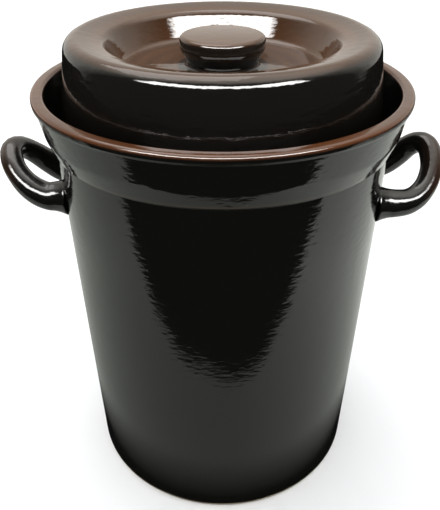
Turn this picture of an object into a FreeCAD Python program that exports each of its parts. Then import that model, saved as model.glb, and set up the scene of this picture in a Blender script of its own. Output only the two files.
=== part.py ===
import FreeCAD, Part
import math
import os
import re

import Sketcher

# A stoneware sauerkraut crock: a fired pot with a water channel round its mouth and
# two strap handles, and a heavy lid whose skirt stands in that channel.
# Millimetres. The axis of the pot is Z, its foot stands on Z = 0, the handles
# reach out along X. Every size is set once, in the sheet below.

SIZES = {
    # pot
    "rim_radius": 145.0,
    "pot_height": 362.0,
    "rim_width": 9.0,
    "rim_band": 8.0,
    "rim_overhang": 1.6,
    "swell_inset": 7.8,
    "swell_drop": 35.0,
    "shoulder_inset": 12.7,
    "shoulder_drop": 41.5,
    "base_inset": 18.4,
    "foot_round": 4.0,
    "rim_round": 2.8,
    "crease_round": 3.0,
    "swell_round": 9.0,
    # water channel and the collar that stands inside the lid
    "channel_inset": 16.0,
    "channel_depth": 36.0,
    "channel_round": 3.0,
    "collar_rise": 32.0,
    "collar_taper": 5.0,
    "collar_round": 5.0,
    "skirt_gap": 2.2,
    "collar_gap": 3.8,
    # lid
    "lid_wall": 9.0,
    "lid_height": 74.9,
    "lid_taper": 10.5,
    "lid_foot_round": 3.0,
    "crown_width": 28.3,
    "crown_fall": 7.1,
    "crown_round": 12.0,
    "dish_slope": 10.0,
    "dish_depth": 27.9,
    "dish_lip_round": 7.0,
    "dish_floor_round": 6.0,
    "under_dish_shift": 5.4,
    "inner_round": 6.0,
    # knob
    "knob_radius": 32.4,
    "knob_foot_radius": 25.0,
    "knob_belly_height": 13.0,
    "knob_height": 22.5,
    "knob_foot_round": 2.5,
    "knob_belly_round": 8.0,
    "knob_top_round": 3.5,
    # handles
    "handle_drop": 91.0,
    "handle_reach": 43.2,
    "handle_leg": 8.0,
    "handle_half_span": 32.0,
    "handle_thickness": 17.0,
    "handle_flare": 0.45,
    "handle_bury": 12.0,
    "handle_root_round": 6.0,
    # how far each handle's strap has risen above its foot line, station by station
    # round the loop, from the near leg to the far one
    "left_rise_1": 8.0,
    "left_rise_2": 13.0,
    "left_rise_3": 20.5,
    "left_rise_4": 28.0,
    "left_rise_5": 31.0,
    "left_rise_6": 28.5,
    "left_rise_7": 18.0,
    "left_rise_8": 4.0,
    "left_rise_9": -5.0,
    "right_rise_1": 0.0,
    "right_rise_2": 2.0,
    "right_rise_3": 8.0,
    "right_rise_4": 16.0,
    "right_rise_5": 24.0,
    "right_rise_6": 30.0,
    "right_rise_7": 29.0,
    "right_rise_8": 16.0,
    "right_rise_9": 5.0,
}

# Places that several features share, as formulas on the sizes.
SHOULDER_RADIUS = "(rim_radius - shoulder_inset)"
SHOULDER_HEIGHT = "(pot_height - shoulder_drop)"
BASE_RADIUS = "(rim_radius - base_inset)"
CHANNEL_RADIUS = "(rim_radius - channel_inset)"
CHANNEL_FLOOR = "(pot_height - channel_depth)"
SKIRT_RADIUS = f"({CHANNEL_RADIUS} - skirt_gap)"
COLLAR_RADIUS = f"({SKIRT_RADIUS} - lid_wall - collar_gap)"
CROWN_RADIUS = f"({SKIRT_RADIUS} - lid_taper)"
CROWN_HEIGHT = f"({CHANNEL_FLOOR} + lid_height)"
LIP_RADIUS = f"({CROWN_RADIUS} - crown_width)"
LIP_HEIGHT = f"({CROWN_HEIGHT} - crown_fall)"
DISH_RADIUS = f"({LIP_RADIUS} - dish_slope)"
DISH_HEIGHT = f"({CROWN_HEIGHT} - dish_depth)"

# How near an edge must lie to a corner to be the one meant.
EDGE_TOLERANCE = 0.01


def make_sheet(doc):
    """The driving sizes, one to a row: name, value."""
    sheet = doc.addObject("Spreadsheet::Sheet", "Sizes")
    for row, (name, value) in enumerate(SIZES.items(), start=1):
        sheet.set(f"A{row}", name)
        sheet.set(f"B{row}", str(value))
        sheet.setAlias(f"B{row}", name)
    doc.recompute()
    return sheet


def bound(formula):
    """A formula on the sizes, as an expression on the sheet's cells."""
    return re.sub(r"[a-z][a-z_0-9]*", lambda word: sheet_name(word.group()), formula)


def sheet_name(word):
    return f"Sizes.{word}" if word in SIZES else word


def value(formula):
    """What a formula on the sizes comes to now."""
    return float(doc.Sizes.evalExpression(bound(formula)))


def origin_plane(body, role):
    return [o for o in body.Origin.OriginFeatures if o.Role == role][0]


def new_sketch(body, name, plane_role):
    sketch = body.newObject("Sketcher::SketchObject", name)
    sketch.AttachmentSupport = [(origin_plane(body, plane_role), "")]
    sketch.MapMode = "FlatFace"
    return sketch


def bind_distance(sketch, kind, line, formula):
    """Ties the start of a line to the origin, across (DistanceX) or up (DistanceY)."""
    constraint = Sketcher.Constraint(kind, -1, 1, line, 1, value(formula))
    index = sketch.addConstraint(constraint)
    sketch.setExpression(f"Constraints[{index}]", bound(formula))


def draw_outline(sketch, corners):
    """A closed outline of straight lines through corners of (radius, height)."""
    points = [FreeCAD.Vector(value(r), value(z), 0) for r, z in corners]
    count = len(points)
    lines = [Part.LineSegment(points[i], points[(i + 1) % count]) for i in range(count)]
    sketch.addGeometry(lines, False)
    for i in range(count):
        sketch.addConstraint(Sketcher.Constraint("Coincident", i, 2, (i + 1) % count, 1))
    for i, (r, z) in enumerate(corners):
        if r == "0" and z == "0":
            sketch.addConstraint(Sketcher.Constraint("Coincident", i, 1, -1, 1))
        elif r == "0":
            sketch.addConstraint(Sketcher.Constraint("PointOnObject", i, 1, -2))
            bind_distance(sketch, "DistanceY", i, z)
        elif z == "0":
            sketch.addConstraint(Sketcher.Constraint("PointOnObject", i, 1, -1))
            bind_distance(sketch, "DistanceX", i, r)
        else:
            bind_distance(sketch, "DistanceX", i, r)
            bind_distance(sketch, "DistanceY", i, z)


def turned_body(name, corners):
    """A body thrown on the wheel: the outline turned once round the axis."""
    body = doc.addObject("PartDesign::Body", name)
    body.Label = name
    sketch = new_sketch(body, f"{name}_outline", "XZ_Plane")
    draw_outline(sketch, corners)
    turned = body.newObject("PartDesign::Revolution", f"{name}_turned")
    turned.Profile = sketch
    turned.ReferenceAxis = (sketch, ["V_Axis"])
    turned.Angle = 360
    doc.recompute()
    return body


def near(a, b):
    """Whether two sizes are the same, to within the tolerance of finding an edge."""
    return abs(a - b) < EDGE_TOLERANCE


def ring_edges(shape, corners):
    """Names of the round edges of a turned shape that lie at (radius, height) corners."""
    names = []
    for r, z in corners:
        for number, edge in enumerate(shape.Edges, start=1):
            if not isinstance(edge.Curve, Part.Circle):
                continue
            box = edge.BoundBox
            level = near(box.ZMin, value(z)) and near(box.ZMax, value(z))
            if level and near(edge.Curve.Radius, value(r)):
                names.append(f"Edge{number}")
    return names


def round_edges(body, name, edge_names, radius):
    base = body.Tip
    fillet = body.newObject("PartDesign::Fillet", name)
    fillet.Base = (base, edge_names)
    fillet.Radius = value(radius)
    fillet.setExpression("Radius", bound(radius))
    body.Tip = fillet
    doc.recompute()
    return fillet


def round_corners(body, name, corners, radius):
    round_edges(body, name, ring_edges(body.Tip.Shape, corners), radius)


# ---------------------------------------------------------------- pot

def make_pot():
    """Wall, swelling collar, rim, water channel and mouth, thrown in one piece."""
    foot = (BASE_RADIUS, "0")
    shoulder = (SHOULDER_RADIUS, SHOULDER_HEIGHT)
    swell = ("rim_radius - swell_inset", "pot_height - swell_drop")
    under_rim = ("rim_radius - rim_overhang", "pot_height - rim_band")
    rim_lower = ("rim_radius", "pot_height - rim_band + rim_overhang")
    rim_outer = ("rim_radius", "pot_height")
    rim_inner = ("rim_radius - rim_width", "pot_height")
    channel_outer = (CHANNEL_RADIUS, CHANNEL_FLOOR)
    channel_inner = (COLLAR_RADIUS, CHANNEL_FLOOR)
    collar_top = (f"{COLLAR_RADIUS} - collar_taper", f"{CHANNEL_FLOOR} + collar_rise")
    mouth = ("0", f"{CHANNEL_FLOOR} + collar_rise")
    pot = turned_body("crock", [
        ("0", "0"), foot, shoulder, swell, under_rim, rim_lower, rim_outer, rim_inner,
        channel_outer, channel_inner, collar_top, mouth,
    ])
    round_corners(pot, "foot_rounding", [foot], "foot_round")
    round_corners(pot, "crease_rounding", [shoulder], "crease_round")
    round_corners(pot, "swell_rounding", [swell], "swell_round")
    round_corners(pot, "rim_rounding", [rim_outer, rim_inner], "rim_round")
    round_corners(pot, "channel_rounding", [channel_outer, channel_inner], "channel_round")
    round_corners(pot, "collar_rounding", [collar_top], "collar_round")
    return pot


# ---------------------------------------------------------------- handles

# Sections along a handle's loop, and how quickly its roots thin out into the strap.
STATIONS = 9
STEP = math.pi / (STATIONS - 1)
FLARE_POWER = 2
# Points tried along an edge to tell whether it lies on the wall, and how near they lie.
EDGE_SAMPLES = 7
WALL_TOLERANCE = 0.05


def bind_number(sketch, name, formula):
    """A number that a handle's section keeps about its own place."""
    sketch.addProperty("App::PropertyFloat", name, "Station", "")
    sketch.setExpression(name, bound(formula))


def rise(side, station):
    """Name of the rise at a station. Beyond the first and last the strap runs level."""
    return f"{side}_rise_{min(max(station, 1), STATIONS)}"


def add_section(pot, side, station):
    """One round section of a handle. Out is measured from the shoulder's radius, Side
    along the wall, Up from the foot line. Heading is the way the strap runs seen from
    above, Climb its slope. The first and the last section are buried in the wall."""
    buried = not 1 <= station <= STATIONS
    turn = min(max((station - 1) * STEP, 0), math.pi)
    sine = f"{math.sin(turn):.6f}"
    cosine = f"{math.cos(turn):.6f}"
    out = f"handle_leg + (handle_reach - handle_leg) * {sine}"
    run = f"sqrt(pow(Across; 2) + pow(Along; 2)) * {2 * STEP:.6f}"
    sketch = new_sketch(pot, f"{side}_section_{station}", "XY_Plane")
    bind_number(sketch, "Out", "-handle_bury" if buried else out)
    bind_number(sketch, "Side", f"-handle_half_span * {cosine}")
    bind_number(sketch, "Up", rise(side, station))
    bind_number(sketch, "Across", f"(handle_reach - handle_leg) * {cosine}")
    bind_number(sketch, "Along", f"handle_half_span * {sine}")
    bind_number(sketch, "Heading", "atan2(Along; Across) / 1 deg")
    bind_number(sketch, "Gain", f"{rise(side, station + 1)} - {rise(side, station - 1)}")
    bind_number(sketch, "Climb", f"{'0' if buried else 'atan2(Gain; ' + run + ') / 1 deg'}")
    circle = sketch.addGeometry(Part.Circle(FreeCAD.Vector(), FreeCAD.Vector(0, 0, 1), 1), False)
    sketch.addConstraint(Sketcher.Constraint("Coincident", circle, 3, -1, 1))
    flare = abs(math.cos(turn)) ** FLARE_POWER
    radius = f"handle_thickness / 2 * (1 + handle_flare * {flare:.6f})"
    index = sketch.addConstraint(Sketcher.Constraint("Radius", circle, value(radius)))
    sketch.setExpression(f"Constraints[{index}]", bound(radius))
    across = f"({SHOULDER_RADIUS} + Out)"
    heading = "Heading"
    if side == "left":
        across = f"-{across}"
        heading = "180 - Heading"
    sketch.setExpression("AttachmentOffset", bound(
        f"placement(vector({across}; Side; pot_height - handle_drop + Up); "
        f"rotationz({heading}) * rotationy(90 - Climb))"))
    return sketch


def add_handle(pot, side):
    """A strap handle: a round roll of clay, thicker at its roots, bent into a loop that
    leaves the wall square, curls upwards and comes back. Its ends are buried in the wall."""
    sections = [add_section(pot, side, station) for station in range(STATIONS + 2)]
    loft = pot.newObject("PartDesign::AdditiveLoft", f"{side}_handle")
    loft.Profile = sections[0]
    loft.Sections = sections[1:]
    pot.Tip = loft
    doc.recompute()


def wall_radius(height):
    """Outer radius of the pot's plain wall at a height."""
    share = height / value(SHOULDER_HEIGHT)
    return value(BASE_RADIUS) + share * (value(SHOULDER_RADIUS) - value(BASE_RADIUS))


def root_edges(shape):
    """Names of the edges in which the handles meet the wall."""
    names = []
    for number, edge in enumerate(shape.Edges, start=1):
        if isinstance(edge.Curve, (Part.Circle, Part.Line)):
            continue
        points = edge.discretize(EDGE_SAMPLES)
        gaps = [abs(math.hypot(p.x, p.y) - wall_radius(p.z)) for p in points]
        if max(gaps) < WALL_TOLERANCE:
            names.append(f"Edge{number}")
    return names


# ---------------------------------------------------------------- lid

def make_lid():
    """Conical skirt, raised crown, sunk dish and the knob that stands in it: a shell of
    even wall, with the knob solid."""
    skirt_foot = (SKIRT_RADIUS, CHANNEL_FLOOR)
    crown = (CROWN_RADIUS, CROWN_HEIGHT)
    lip = (LIP_RADIUS, LIP_HEIGHT)
    dish = (DISH_RADIUS, DISH_HEIGHT)
    knob_foot = ("knob_foot_radius", DISH_HEIGHT)
    knob_belly = ("knob_radius", f"{DISH_HEIGHT} + knob_belly_height")
    knob_top = ("knob_radius", f"{DISH_HEIGHT} + knob_height")
    knob_centre = ("0", f"{DISH_HEIGHT} + knob_height")
    ceiling_centre = ("0", f"{DISH_HEIGHT} - lid_wall")
    ceiling = (f"{DISH_RADIUS} + under_dish_shift", f"{DISH_HEIGHT} - lid_wall")
    under_lip = (f"{LIP_RADIUS} + under_dish_shift", f"{LIP_HEIGHT} - lid_wall")
    under_crown = (f"{CROWN_RADIUS} - lid_wall", f"{CROWN_HEIGHT} - lid_wall")
    skirt_inside = (f"{SKIRT_RADIUS} - lid_wall", CHANNEL_FLOOR)
    lid = turned_body("lid", [
        skirt_foot, crown, lip, dish, knob_foot, knob_belly, knob_top, knob_centre,
        ceiling_centre, ceiling, under_lip, under_crown, skirt_inside,
    ])
    round_corners(lid, "skirt_rounding", [skirt_foot, skirt_inside], "lid_foot_round")
    round_corners(lid, "crown_rounding", [crown], "crown_round")
    round_corners(lid, "lip_rounding", [lip], "dish_lip_round")
    round_corners(lid, "dish_rounding", [dish], "dish_floor_round")
    round_corners(lid, "knob_foot_rounding", [knob_foot], "knob_foot_round")
    round_corners(lid, "knob_belly_rounding", [knob_belly], "knob_belly_round")
    round_corners(lid, "knob_top_rounding", [knob_top], "knob_top_round")
    round_corners(lid, "inner_rounding", [ceiling, under_lip, under_crown], "inner_round")
    return lid


# ---------------------------------------------------------------- build

doc = FreeCAD.newDocument("sauerkraut_crock")
make_sheet(doc)
crock = make_pot()
add_handle(crock, "left")
add_handle(crock, "right")
round_edges(crock, "handle_root_rounding", root_edges(crock.Tip.Shape), "handle_root_round")
lid = make_lid()
doc.recompute()

for obj in doc.Objects:
    if "Invalid" in obj.State or "Error" in obj.State:
        raise RuntimeError(f"{obj.Label} could not be built: {obj.State}")

os.makedirs("parts", exist_ok=True)
for body in (crock, lid):
    if body.Shape.isNull() or not body.Shape.isValid() or len(body.Shape.Solids) != 1:
        raise RuntimeError(f"{body.Label} is not one valid solid")
    body.Shape.exportStep(f"parts/{body.Label}.step")
    box = body.Shape.optimalBoundingBox()
    print(f"{body.Label}: {body.Shape.Volume / 1e6:.3f} litres of solid, "
          f"{box.XLength:.1f} x {box.YLength:.1f} x {box.ZLength:.1f} mm")
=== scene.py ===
# %% [markdown]
# # Sauerkraut crock
# A stoneware crock for fermenting cabbage, shut with its lid. Water stands in the
# channel between the lid and the flared rim, and keeps the air out. The potter turns
# the pot and the lid on a wheel, presses two rolls of clay on to the wall as handles,
# and glazes it all with a dark slip. This lesson makes it in the same order: turned
# outlines, swept rolls, and a glaze mixed from noise. Sizes are in metres.

import math

import bpy
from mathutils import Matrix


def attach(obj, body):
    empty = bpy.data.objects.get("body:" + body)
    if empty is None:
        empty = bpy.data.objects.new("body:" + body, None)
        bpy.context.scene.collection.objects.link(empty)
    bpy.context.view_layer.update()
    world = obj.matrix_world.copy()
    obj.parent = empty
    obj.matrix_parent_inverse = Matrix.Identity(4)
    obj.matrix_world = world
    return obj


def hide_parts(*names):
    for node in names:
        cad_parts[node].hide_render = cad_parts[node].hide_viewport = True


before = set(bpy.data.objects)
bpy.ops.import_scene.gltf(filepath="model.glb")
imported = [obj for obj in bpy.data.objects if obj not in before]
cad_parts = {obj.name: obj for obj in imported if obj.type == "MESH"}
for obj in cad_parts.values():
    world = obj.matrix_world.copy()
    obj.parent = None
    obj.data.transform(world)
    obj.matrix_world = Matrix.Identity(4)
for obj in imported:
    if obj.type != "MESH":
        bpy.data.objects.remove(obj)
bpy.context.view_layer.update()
scene = bpy.context.scene
print("nodes:", sorted(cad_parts))

# %% [markdown]
# ## Shared sizes
# The lid stands in the water channel of the pot, and the handles grow out of its wall,
# so the pieces have sizes in common. They could be typed wherever they are needed, but
# then one change would part the pieces. Written once, with a name, they move together.

# %% shared sizes
SHOULDER_RADIUS = 0.1323
RIM_TOP = 0.362
CHANNEL_FLOOR = 0.326
MERGE_DISTANCE = 0.00002
print("over the shoulder:", 2 * SHOULDER_RADIUS, "m")

# %% [markdown]
# ## Rounding the corners of an outline
# Clay and glaze leave no sharp edge, and on a glossy pot each edge shows as a line of
# light as wide as its rounding. A Bevel modifier could round them all alike. Here every
# corner of an outline carries a rounding of its own, as (radius, height, rounding), and
# a true arc takes its place, because a looser curve draws the highlights too wide.

# %% rounding corners
ARC_POINTS = 7


def unit(a, b):
    """The direction from a to b, one long."""
    length = math.dist(a, b)
    return ((b[0] - a[0]) / length, (b[1] - a[1]) / length)


def corner_arc(before, corner, after, rounding):
    """The points of the arc that takes the place of a corner."""
    back = unit(corner, before)
    ahead = unit(corner, after)
    cosine = back[0] * ahead[0] + back[1] * ahead[1]
    half = math.acos(max(-1, min(1, cosine))) / 2
    reach = rounding / math.tan(half)
    middle = unit((0, 0), (back[0] + ahead[0], back[1] + ahead[1]))
    centre = [corner[i] + middle[i] * rounding / math.sin(half) for i in (0, 1)]
    start = [corner[i] + back[i] * reach - centre[i] for i in (0, 1)]
    end = [corner[i] + ahead[i] * reach - centre[i] for i in (0, 1)]
    sweep = math.pi - 2 * half
    points = []
    for step in range(ARC_POINTS):
        turn = sweep * step / (ARC_POINTS - 1)
        first = math.sin(sweep - turn) / math.sin(sweep)
        second = math.sin(turn) / math.sin(sweep)
        points.append(tuple(centre[i] + first * start[i] + second * end[i] for i in (0, 1)))
    return points


def rounded(corners):
    """The outline's points. A corner whose rounding is 0 stays as it is."""
    points = []
    for i, (r, z, rounding) in enumerate(corners):
        if rounding == 0:
            points.append((r, z))
            continue
        before = corners[i - 1][:2]
        after = corners[(i + 1) % len(corners)][:2]
        points.extend(corner_arc(before, (r, z), after, rounding))
    return points


print("points on a rounded corner:", ARC_POINTS)

# %% [markdown]
# ## Turning an outline
# A pot on the wheel is one outline carried round an axis. The Screw modifier would do
# it, and so does Spin in edit mode, which leaves a plain mesh at once. A circle gives a
# closed loop with as many points as the outline has. They are laid out along it, the
# loop is spun, and the seam and the poles on the axis are merged shut.

# %% turning
TURN_STEPS = 192
SMOOTH_ANGLE = 50


def named(name):
    """The object that an operator has just made, under its own name."""
    piece = bpy.context.object
    piece.name = name
    piece.data.name = name
    return piece


def turned(name, corners):
    """A closed outline turned once round the axis of the pot."""
    points = rounded(corners)
    bpy.ops.object.select_all(action="DESELECT")
    bpy.ops.mesh.primitive_circle_add(vertices=len(points), radius=1)
    piece = named(name)
    for vertex, (r, z) in zip(piece.data.vertices, points):
        vertex.co = (r, 0, z)
    bpy.ops.object.mode_set(mode="EDIT")
    bpy.ops.mesh.select_all(action="SELECT")
    bpy.ops.mesh.spin(steps=TURN_STEPS, angle=math.tau, center=(0, 0, 0), axis=(0, 0, 1))
    bpy.ops.mesh.select_all(action="SELECT")
    bpy.ops.mesh.remove_doubles(threshold=MERGE_DISTANCE)
    bpy.ops.mesh.delete_loose()
    bpy.ops.mesh.select_all(action="SELECT")
    bpy.ops.mesh.normals_make_consistent(inside=False)
    bpy.ops.object.mode_set(mode="OBJECT")
    bpy.ops.object.shade_smooth_by_angle(angle=math.radians(SMOOTH_ANGLE))
    print(name, len(piece.data.polygons), "faces")
    return piece


print("steps in a turn:", TURN_STEPS)

# %% [markdown]
# ## The pot
# The wall widens very little from the foot to the shoulder. Above it a flare swells out
# to a thin rim. Inside the rim lies the water channel, and a collar stands up from it
# into the lid. It could be a cylinder with edges pulled out by hand, but the flare is a
# slow curve that shows in every reflection, so the whole section is drawn as one
# outline. The lid hides the mouth, so the pot is closed over at the collar.

# %% sizes of the pot
FOOT_RADIUS = 0.1266
FOOT_ROUNDING = 0.004
SHOULDER_HEIGHT = 0.3200
SHOULDER_ROUNDING = 0.0008
NECK_RADIUS = 0.1343
NECK_HEIGHT = 0.3216
FLARE_RADIUS = 0.1394
FLARE_HEIGHT = 0.3350
FLARE_ROUNDING = 0.0300
LEDGE_RADIUS = 0.1430
LEDGE_HEIGHT = 0.3550
EDGE_ROUNDING = 0.0010
RIM_RADIUS = 0.145
RIM_UNDERSIDE = 0.3570
RIM_INSIDE = 0.136
RIM_ROUNDING = 0.0026
print("over the rim:", 2 * RIM_RADIUS, "m")

# %% sizes of the water channel
CHANNEL_RADIUS = 0.129
CHANNEL_ROUNDING = 0.003
COLLAR_FOOT = 0.114
COLLAR_RADIUS = 0.109
COLLAR_TOP = 0.358
COLLAR_ROUNDING = 0.005
print("depth of the channel:", round(RIM_TOP - CHANNEL_FLOOR, 4), "m")

# %% pot
pot = turned("pot", [
    (0.0, 0.0, 0),
    (FOOT_RADIUS, 0.0, FOOT_ROUNDING),
    (SHOULDER_RADIUS, SHOULDER_HEIGHT, SHOULDER_ROUNDING),
    (NECK_RADIUS, NECK_HEIGHT, EDGE_ROUNDING),
    (FLARE_RADIUS, FLARE_HEIGHT, FLARE_ROUNDING),
    (LEDGE_RADIUS, LEDGE_HEIGHT, EDGE_ROUNDING),
    (RIM_RADIUS, RIM_UNDERSIDE, EDGE_ROUNDING),
    (RIM_RADIUS, RIM_TOP, RIM_ROUNDING),
    (RIM_INSIDE, RIM_TOP, RIM_ROUNDING),
    (CHANNEL_RADIUS, CHANNEL_FLOOR, CHANNEL_ROUNDING),
    (COLLAR_FOOT, CHANNEL_FLOOR, CHANNEL_ROUNDING),
    (COLLAR_RADIUS, COLLAR_TOP, COLLAR_ROUNDING),
    (0.0, COLLAR_TOP, 0),
])

# %% [markdown]
# ## The lid
# A conical skirt stands in the channel. Its crown is a broad rounded ring, and inside
# the ring the lid sinks to a dish with a knob in the middle, so that the knob stands no
# higher than the crown. It could be built from a disc by insets and extrusions. One
# outline is easier to correct, and running it back along the inside gives the lid its
# even wall.

# %% sizes of the lid
SKIRT_RADIUS = 0.1268
SKIRT_ROUNDING = 0.003
CROWN_RADIUS = 0.1163
CROWN_HEIGHT = 0.4000
CROWN_ROUNDING = 0.0095
LIP_RADIUS = 0.088
LIP_HEIGHT = 0.3938
LIP_ROUNDING = 0.007
DISH_RADIUS = 0.078
DISH_FLOOR = 0.373
DISH_ROUNDING = 0.006
print("across the dish:", 2 * DISH_RADIUS, "m")

# %% sizes of the knob and the wall
KNOB_FOOT = 0.025
KNOB_FOOT_ROUNDING = 0.0025
KNOB_RADIUS = 0.0324
KNOB_BROW = 0.386
KNOB_BROW_ROUNDING = 0.008
KNOB_TOP = 0.3955
KNOB_ROUNDING = 0.0035
LID_WALL = 0.009
SLOPE_SHIFT = 0.0054
INNER_ROUNDING = 0.006
print("across the knob:", 2 * KNOB_RADIUS, "m")

# %% lid
lid = turned("lid_turned", [
    (SKIRT_RADIUS, CHANNEL_FLOOR, SKIRT_ROUNDING),
    (CROWN_RADIUS, CROWN_HEIGHT, CROWN_ROUNDING),
    (LIP_RADIUS, LIP_HEIGHT, LIP_ROUNDING),
    (DISH_RADIUS, DISH_FLOOR, DISH_ROUNDING),
    (KNOB_FOOT, DISH_FLOOR, KNOB_FOOT_ROUNDING),
    (KNOB_RADIUS, KNOB_BROW, KNOB_BROW_ROUNDING),
    (KNOB_RADIUS, KNOB_TOP, KNOB_ROUNDING),
    (0.0, KNOB_TOP, 0),
    (0.0, DISH_FLOOR - LID_WALL, 0),
    (DISH_RADIUS + SLOPE_SHIFT, DISH_FLOOR - LID_WALL, INNER_ROUNDING),
    (LIP_RADIUS + SLOPE_SHIFT, LIP_HEIGHT - LID_WALL, INNER_ROUNDING),
    (CROWN_RADIUS - LID_WALL, CROWN_HEIGHT - LID_WALL, INNER_ROUNDING),
    (SKIRT_RADIUS - LID_WALL, CHANNEL_FLOOR, SKIRT_ROUNDING),
])

# %% [markdown]
# ## The path of a handle
# Each handle is a roll of clay bent into a half loop. It leaves the wall square, curls
# upwards at its middle and comes back, and it is thicker where the potter pressed it on.
# Half a torus would be quicker, but both loops would be flat and alike. Here the
# plan is a half loop, and the height is given at nine stations, because the two were
# bent by hand and don't match. The ends run on into the wall and widen there.

# %% handle paths
MILLIMETRE = 0.001
FOOT_LINE = 0.271
REACH = 0.042
LEG = 0.008
HALF_SPAN = 0.032
ROLL_RADIUS = 0.0102
END_SWELL = 0.27
SWELL_POWER = 6
ROOTS = ((0.005, 1.05), (0.009, 1.13), (0.0125, 1.24), (0.017, 1.38))
LEFT_RISES = (5.5, 11, 19.5, 28, 32, 29.5, 20, 7, -2)
RIGHT_RISES = (-1, 0, 6, 15, 25, 32, 28, 13.5, 4)


def handle_path(side, rises):
    """The centre line of a handle with its thickness: x, y, z, radius."""
    last = len(rises) - 1
    path = []
    for i, rise in enumerate(rises):
        turn = math.pi * i / last
        out = LEG + (REACH - LEG) * math.sin(turn)
        swell = abs(math.cos(turn)) ** SWELL_POWER
        x = side * (SHOULDER_RADIUS + out)
        y = -HALF_SPAN * math.cos(turn)
        path.append((x, y, FOOT_LINE + rise * MILLIMETRE, ROLL_RADIUS * (1 + END_SWELL * swell)))
    for end in (0, -1):
        x, y, z, radius = path[end]
        for depth, widening in ROOTS:
            root = (x - side * depth, y, z, radius * widening)
            path.insert(0 if end == 0 else len(path), root)
    return path


print("out from the wall:", round(REACH + ROLL_RADIUS, 4), "m before smoothing")

# %% [markdown]
# ## Sweeping the handles
# A roll along a path is a curve with a round bevel, whose points carry a radius each. It
# could be skinned or extruded ring by ring, but the curve keeps every section round and
# square to the path. Converted to a mesh, it is smoothed a little, so that no crease
# shows where the roots begin. The smoothing draws the roll in by about an eighth, and
# ROLL_RADIUS allows for that.

# %% sweeping
BEVEL_STEPS = 8
PATH_STEPS = 8
SMOOTHING = 0.5
SMOOTHING_TIMES = 10


def swept(name, path):
    """A round roll along a path, as a mesh."""
    bpy.ops.object.select_all(action="DESELECT")
    bpy.ops.curve.primitive_bezier_curve_add()
    curve = named(name).data
    curve.dimensions = "3D"
    curve.bevel_depth = 1.0
    curve.bevel_resolution = BEVEL_STEPS
    curve.resolution_u = PATH_STEPS
    curve.use_fill_caps = True
    spline = curve.splines[0]
    spline.radius_interpolation = "CARDINAL"
    spline.bezier_points.add(len(path) - len(spline.bezier_points))
    for point, (x, y, z, radius) in zip(spline.bezier_points, path):
        point.co = (x, y, z)
        point.radius = radius
        point.handle_left_type = "AUTO"
        point.handle_right_type = "AUTO"
    bpy.ops.object.convert(target="MESH")
    roll = bpy.context.object
    bpy.ops.object.mode_set(mode="EDIT")
    bpy.ops.mesh.select_all(action="SELECT")
    bpy.ops.mesh.remove_doubles(threshold=MERGE_DISTANCE)
    bpy.ops.mesh.vertices_smooth(factor=SMOOTHING, repeat=SMOOTHING_TIMES)
    bpy.ops.mesh.normals_make_consistent(inside=False)
    bpy.ops.object.mode_set(mode="OBJECT")
    bpy.ops.object.shade_smooth()
    print(name, len(roll.data.polygons), "faces")
    return roll


left_handle = swept("left_handle", handle_path(-1, LEFT_RISES))
right_handle = swept("right_handle", handle_path(1, RIGHT_RISES))

# %% [markdown]
# ## Shader arithmetic
# The glaze is a set of formulas in x, y, z and noise. Its nodes could be placed and
# linked one by one, but a formula of ten nodes is hard to read that way. A small class
# wraps a socket, so that 1 - mask is written as in any other Python, and one function
# makes every node: its type, its settings, then the values or links of its sockets.

# %% node wrapper
class Value:
    """A socket of a shader tree that can be used in arithmetic."""

    def __init__(self, tree, socket):
        self.tree = tree
        self.socket = socket

    def maths(self, operation, *others):
        """A Math node whose first input is this value."""
        inputs = dict(enumerate((self, *others)))
        return add_node(self.tree, "ShaderNodeMath", {"operation": operation}, inputs)

    def __add__(self, other):
        return self.maths("ADD", other)

    __radd__ = __add__

    def __mul__(self, other):
        return self.maths("MULTIPLY", other)

    __rmul__ = __mul__

    def __sub__(self, other):
        return self.maths("SUBTRACT", other)

    def __rsub__(self, other):
        return add_node(self.tree, "ShaderNodeMath", {"operation": "SUBTRACT"}, {0: other, 1: self})

    def __truediv__(self, other):
        return self.maths("DIVIDE", other)

    def clamped(self):
        """The value kept between 0 and 1."""
        return self.maths("MAXIMUM", 0).maths("MINIMUM", 1)

    def step(self, low, high):
        """0 below low, 1 above high, and a straight ramp between them."""
        return ((self - low) / (high - low)).clamped()


def put(value, target):
    """A value or a plain constant goes into a socket."""
    if isinstance(value, Value):
        value.tree.links.new(value.socket, target)
    else:
        target.default_value = value


def add_node(tree, kind, settings, inputs, output=0):
    """Any node: its settings are set first, then its sockets, and one output is handed on."""
    node = tree.nodes.new(kind)
    for setting, value in settings.items():
        setattr(node, setting, value)
    for socket, value in inputs.items():
        put(value, node.inputs[socket])
    return Value(tree, node.outputs[output])


print("operations on a shader value: +, -, *, /, clamped, step")

# %% small shader helpers
MIX_FIRST = 6
MIX_SECOND = 7
MIX_RESULT = 2


def split(tree, vector):
    """The x, y and z of a vector."""
    return [add_node(tree, "ShaderNodeSeparateXYZ", {}, {0: vector}, axis) for axis in "XYZ"]


def own_place(tree):
    """The object's own coordinates."""
    return add_node(tree, "ShaderNodeTexCoord", {}, {}, "Object")


def stretched(tree, vector, factors):
    """The vector scaled along each axis."""
    return add_node(tree, "ShaderNodeVectorMath", {"operation": "MULTIPLY"}, {0: vector, 1: factors})


def noise(tree, coordinates, scale, detail):
    """Noise from 0 to 1 in those coordinates."""
    inputs = {"Vector": coordinates, "Scale": scale, "Detail": detail}
    return add_node(tree, "ShaderNodeTexNoise", {}, inputs, "Fac")


def mix_colour(tree, factor, first, second):
    """The first colour where factor is 0, the second where it is 1."""
    inputs = {"Factor": factor, MIX_FIRST: first, MIX_SECOND: second}
    return add_node(tree, "ShaderNodeMix", {"data_type": "RGBA"}, inputs, MIX_RESULT)


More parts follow.
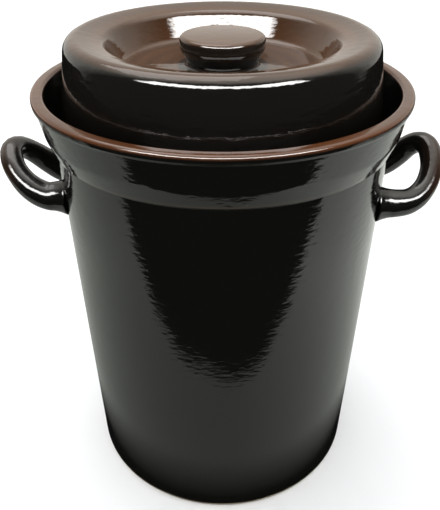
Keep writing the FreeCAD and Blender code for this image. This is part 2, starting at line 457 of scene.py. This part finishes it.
def mix_shader(tree, factor, first, second):
    """The first shader where factor is 0, the second where it is 1."""
    return add_node(tree, "ShaderNodeMixShader", {}, {0: factor, 1: first, 2: second})


print("helpers: split, own_place, stretched, noise, mix_colour, mix_shader")

# %% [markdown]
# ## The glaze
# A slip glaze is melted glass with iron in it. Where it lies thick it is nearly black,
# and where it ran thin, on edges and over the throwing rings, the iron shows red-brown.
# It dries to a fine ripple, which breaks the edges of reflections. A flat brown with a
# coat would be glossy and dead. Here a share of thin glaze mixes the two colours, three
# noises vary it, and a Bump node carries the ripple. The foot, which stood on the kiln
# shelf, is left bare.

# %% colours of the glaze
THICK = (0.0035, 0.0034, 0.0028, 1)
THICK_ON_LID = (0.006, 0.005, 0.004, 1)
THIN = (0.105, 0.037, 0.014, 1)
THIN_ON_LID = (0.088, 0.038, 0.016, 1)
BARE_CLAY = (0.17, 0.14, 0.10, 1)
print("thin glaze:", THIN[:3])

# %% glaze
CLOUD_SCALE = 14
FINE_SCALE = 90
RIPPLE_SCALE = 110
RIPPLE_STRETCH = (1, 1, 2.4)
CLOUD_LEAST = 0.45
CLOUD_GAIN = 1.1
BARE_HEIGHT = 0.0048
BARE_WANDER = 0.0016
BARE_BLUR = 0.0004
GLAZE_ROUGHNESS = 0.045
HANDLE_ROUGHNESS = 0.11
FINE_ROUGHNESS = 0.05
BARE_ROUGHNESS = 0.6
CLOUD_RELIEF = 2.5
RELIEF_STRENGTH = 0.3
RELIEF_DEPTH = 0.0006
GLAZE_IOR = 1.55


def glaze(name, thin_share, thick, thin, rough):
    """thin_share is a function of (z, radius) that says where the glaze ran thin."""
    material = bpy.data.materials.new(name)
    material.use_nodes = True
    tree = material.node_tree
    shader = tree.nodes["Principled BSDF"]
    place = own_place(tree)
    x, y, z = split(tree, place)
    radius = (x * x + y * y).maths("SQRT")
    cloud = noise(tree, place, CLOUD_SCALE, 3)
    fine = noise(tree, place, FINE_SCALE, 2)
    ripple = noise(tree, stretched(tree, place, RIPPLE_STRETCH), RIPPLE_SCALE, 2)
    share = (thin_share(z, radius) * (CLOUD_LEAST + cloud * CLOUD_GAIN)).clamped()
    bare = (BARE_HEIGHT + (fine - 0.5) * BARE_WANDER - z).step(0.0, BARE_BLUR)
    colour = mix_colour(tree, bare, mix_colour(tree, share, thick, thin), BARE_CLAY)
    height = ripple + cloud * CLOUD_RELIEF
    relief = {"Strength": RELIEF_STRENGTH, "Distance": RELIEF_DEPTH, "Height": height}
    put(colour, shader.inputs["Base Color"])
    put(rough + fine * FINE_ROUGHNESS + bare * BARE_ROUGHNESS, shader.inputs["Roughness"])
    put(add_node(tree, "ShaderNodeBump", {}, relief), shader.inputs["Normal"])
    put(GLAZE_IOR, shader.inputs["IOR"])
    print(name, len(tree.nodes), "nodes")
    return material


# %% [markdown]
# ## Where the glaze ran thin
# On the pot it drew back from the rim, and a trace of brown follows the shoulder. On the
# lid it is thin over the crown, the dish and the top of the knob, and darker in the
# grooves of the throwing rings. On a handle it is thin along the outer crest. These
# could be painted by hand as an attribute, but each follows a height or a radius, so a
# ramp along that measure keeps the pattern on its feature.

# %% thin glaze on the pot
RIM_THINNING = (0.3590, 0.3608)
RIM_BAND = (0.132, 0.136)
RIM_SHARE = 0.85
SHOULDER_LINE = 0.3225
SHOULDER_BLUR = 0.002
SHOULDER_BAND = (0.128, 0.131)
SHOULDER_SHARE = 0.10


def pot_thin(z, radius):
    """Thin on the rim, and a little on the edge of the shoulder."""
    rim = z.step(*RIM_THINNING) * radius.step(*RIM_BAND)
    shoulder = 1 - ((z - SHOULDER_LINE).maths("ABSOLUTE") / SHOULDER_BLUR).clamped()
    return rim * RIM_SHARE + shoulder * radius.step(*SHOULDER_BAND) * SHOULDER_SHARE


pot.data.materials.append(glaze("pot_glaze", pot_thin, THICK, THIN, GLAZE_ROUGHNESS))

# %% thin glaze on the lid
CROWN_THINNING = (0.3945, 0.3985)
CROWN_SHARE = 0.8
RING_RADIANS = 420
DISH_START = (0.0335, 0.036)
DISH_END = (0.098, 0.104)
DISH_THINNING = (0.371, 0.3725)
DISH_SHARE = 0.66
RING_SHARE = 0.26
KNOB_BAND = (0.0325, 0.034)
KNOB_THINNING = (0.3925, 0.3945)


def lid_thin(z, radius):
    """Thin over the crown, the dish and the top of the knob, with throwing rings in the dish."""
    crown = z.step(*CROWN_THINNING)
    rings = (radius * RING_RADIANS).maths("SINE") * 0.5 + 0.5
    dish = radius.step(*DISH_START) * (1 - radius.step(*DISH_END)) * z.step(*DISH_THINNING)
    knob = (1 - radius.step(*KNOB_BAND)) * z.step(*KNOB_THINNING)
    return (crown + knob) * CROWN_SHARE + dish * (1 - crown) * (DISH_SHARE + rings * RING_SHARE)


lid.data.materials.append(glaze("lid_glaze", lid_thin, THICK_ON_LID, THIN_ON_LID, GLAZE_ROUGHNESS))

# %% thin glaze on the handles
CREST_BAND = (0.165, 0.184)
CREST_SHARE = 0.30


def handle_thin(z, radius):
    """Thin along the outer crest of the roll."""
    return radius.step(*CREST_BAND) * CREST_SHARE


handle_glaze = glaze("handle_glaze", handle_thin, THICK, THIN, HANDLE_ROUGHNESS)
left_handle.data.materials.append(handle_glaze)
right_handle.data.materials.append(handle_glaze)

# %% [markdown]
# ## Joining the pieces to the frame
# The pot and its handles are one fired piece and stand for one solid of the frame, and
# the lid stands for the other. Each could be parented by hand; here each piece is
# parented to the empty of its body, the root for all four, and the part of model.glb
# that it takes the place of is hidden.

# %% frame
for piece in (pot, left_handle, right_handle):
    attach(piece, "root")
    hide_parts("crock")
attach(lid, "root")
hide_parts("lid")
print("pieces:", [piece.name for piece in (pot, left_handle, right_handle, lid)])

# %% [markdown]
# ## The floor
# The floor is pale and keeps the contact shadow. A black glaze is seen by what it
# mirrors, so for mirrored rays the floor is a plain emission, a painted reflection: dark
# ahead of the crock, which draws the dark front of the glaze, a painted shadow close round
# the foot, dark far away, and grey between, with painted light a little brighter on the
# right. Cards and flags round the pot could do the same, but they would stand in the way
# of other views.

# %% floor
FLOOR_SIZE = 8
FLOOR_COLOUR = (0.9, 0.9, 0.9, 1)
FLOOR_ROUGHNESS = 0.9
# Colours of the painted reflection: the emission that mirrored rays see in the floor.
MIRRORED_LEFT = (0.58, 0.61, 0.56, 1)
MIRRORED_RIGHT = (0.92, 0.95, 0.89, 1)
MIRRORED_DARK = (0.006, 0.006, 0.006, 1)
LEFT_TO_RIGHT = (0.02, 0.35)
FRONT_LINE = -0.262
FRONT_SLANT = 0.03
FRONT_WANDER = 0.12
FRONT_BLUR = 0.012
DRIFT_SCALE = 2.5
# Reach and share of the painted shadow round the foot, near and wide, in the painted reflection.
CLOSE_SHADE = (0.12, 0.165)
CLOSE_SHARE = 0.7
WIDE_SHADE = (0.14, 0.42)
WIDE_SHARE = 0.5
FAR_SHADE = (0.9, 1.3)


def emission(tree, colour):
    """A plain emission of one colour."""
    return add_node(tree, "ShaderNodeEmission", {}, {"Color": colour})


def floor_material():
    """A pale floor that mirrored rays see as a painted reflection, an emission of dark and grey."""
    material = bpy.data.materials.new("floor")
    material.use_nodes = True
    tree = material.node_tree
    shader = tree.nodes["Principled BSDF"]
    put(FLOOR_COLOUR, shader.inputs["Base Color"])
    put(FLOOR_ROUGHNESS, shader.inputs["Roughness"])
    place = own_place(tree)
    x, y, _ = split(tree, place)
    drift = noise(tree, place, DRIFT_SCALE, 2)
    # Painted reflection: a dark patch of emission ahead of the crock stands in for a dark room there.
    front = (FRONT_LINE - y - x * FRONT_SLANT + (drift - 0.5) * FRONT_WANDER).step(0.0, FRONT_BLUR)
    distance = (x * x + y * y).maths("SQRT")
    # Painted shadow: the mirrored emission darkens close round the foot, and more weakly further out.
    close = (1 - distance.step(*CLOSE_SHADE)) * CLOSE_SHARE
    wide = (1 - distance.step(*WIDE_SHADE)) * WIDE_SHARE
    shade = (front + (close + wide) + distance.step(*FAR_SHADE)).clamped()
    # Painted light in the reflection: the grey emission is brighter on the right than on the left.
    left = emission(tree, MIRRORED_LEFT)
    right = emission(tree, MIRRORED_RIGHT)
    grey = mix_shader(tree, x.step(*LEFT_TO_RIGHT), left, right)
    mirrored = mix_shader(tree, shade, grey, emission(tree, MIRRORED_DARK))
    glossy = add_node(tree, "ShaderNodeLightPath", {}, {}, "Is Glossy Ray")
    seen = mix_shader(tree, glossy, Value(tree, shader.outputs[0]), mirrored)
    put(seen, tree.nodes["Material Output"].inputs["Surface"])
    return material


bpy.ops.object.select_all(action="DESELECT")
bpy.ops.mesh.primitive_plane_add(size=FLOOR_SIZE)
floor = named("floor")
floor.data.materials.append(floor_material())
print("floor:", FLOOR_SIZE, "m square")

# %% [markdown]
# ## The room
# The camera sees white, and the floor and the clay get an even light. Mirrored rays see
# a room: bright walls behind and a brighter ceiling, dark ahead, and a row of windows
# high up ahead, which makes the sharp highlights on the crown and in the dish. Area
# lamps could stand for the windows, but a room drawn on the world by direction lights
# every view alike and leaves nothing in the way.

# %% room
BRIGHT_RISE = 0.6
BRIGHT_NARROWING = 0.25
BRIGHT_RAMP = (-0.10, 0.40)
CEILING_START = (0.60, 0.90)
WINDOW_SILL = (0.49, 0.52)
WINDOW_HEAD = (0.71, 0.74)
WINDOW_WALL = 0.30
WINDOW_BLUR = 0.10
DARK_SIDE = ((0.05, 0.05, 0.05, 1), 1)
WALLS = ((1, 0.96, 0.88, 1), 0.88)
CEILING = ((1, 0.96, 0.89, 1), 2.2)
WINDOWS = ((1, 0.99, 0.97, 1), 24)
EVEN_LIGHT = ((0.98, 0.99, 1.0, 1), 1.3)
WHITE = ((1, 1, 1, 1), 1)


def background(tree, light):
    """A background of one colour and strength."""
    colour, strength = light
    return add_node(tree, "ShaderNodeBackground", {}, {"Color": colour, "Strength": strength})


def mirrored_room(tree):
    """What mirrored rays see, by direction: -y is ahead of the crock and z is up."""
    x, y, z = split(tree, add_node(tree, "ShaderNodeTexCoord", {}, {}, "Generated"))
    bright_share = (y + z * BRIGHT_RISE - x.maths("ABSOLUTE") * BRIGHT_NARROWING).step(*BRIGHT_RAMP)
    ahead = (-WINDOW_WALL - y).step(0.0, WINDOW_BLUR)
    window_share = z.step(*WINDOW_SILL) * (1 - z.step(*WINDOW_HEAD)) * ahead
    bright = mix_shader(tree, z.step(*CEILING_START), background(tree, WALLS), background(tree, CEILING))
    room = mix_shader(tree, bright_share, background(tree, DARK_SIDE), bright)
    return mix_shader(tree, window_share, room, background(tree, WINDOWS))


world = bpy.data.worlds.new("studio")
scene.world = world
world.use_nodes = True
room_tree = world.node_tree
glossy = add_node(room_tree, "ShaderNodeLightPath", {}, {}, "Is Glossy Ray")
camera_ray = add_node(room_tree, "ShaderNodeLightPath", {}, {}, "Is Camera Ray")
lit = mix_shader(room_tree, glossy, background(room_tree, EVEN_LIGHT), mirrored_room(room_tree))
seen = mix_shader(room_tree, camera_ray, lit, background(room_tree, WHITE))
put(seen, room_tree.nodes["World Output"].inputs["Surface"])
print("world:", len(room_tree.nodes), "nodes")

# %% [markdown]
# ## Lamp and camera
# One large soft lamp overhead gives the shadow a direction. The camera stands a little
# above the crock and looks down on it, close enough for the wall to narrow downwards.

# %% lamp
LAMP_PLACE = (-0.5, 0.6, 2.2)
LAMP_SIZE = 1.6
LAMP_POWER = 14
LAMP_TILT = (-15, -13, 0)

bpy.ops.object.light_add(type="AREA", location=LAMP_PLACE)
lamp = named("overhead_lamp")
lamp.data.size = LAMP_SIZE
lamp.data.energy = LAMP_POWER
lamp.rotation_euler = [math.radians(angle) for angle in LAMP_TILT]
print("lamp:", LAMP_POWER, "W")

# %% camera
CAMERA_PLACE = (0, -0.4622, 0.5055)
CAMERA_TILT = 56.36
CAMERA_LENS = 42.26
CAMERA_SENSOR = 36
CAMERA_SHIFT = -0.0051
NEAREST = 0.01

bpy.ops.object.camera_add(location=CAMERA_PLACE, rotation=(math.radians(CAMERA_TILT), 0, 0))
camera = bpy.context.object
camera.data.lens = CAMERA_LENS
camera.data.sensor_width = CAMERA_SENSOR
camera.data.shift_x = CAMERA_SHIFT
camera.data.clip_start = NEAREST
scene.camera = camera
scene.view_settings.view_transform = "Standard"
print("lens:", CAMERA_LENS, "mm")
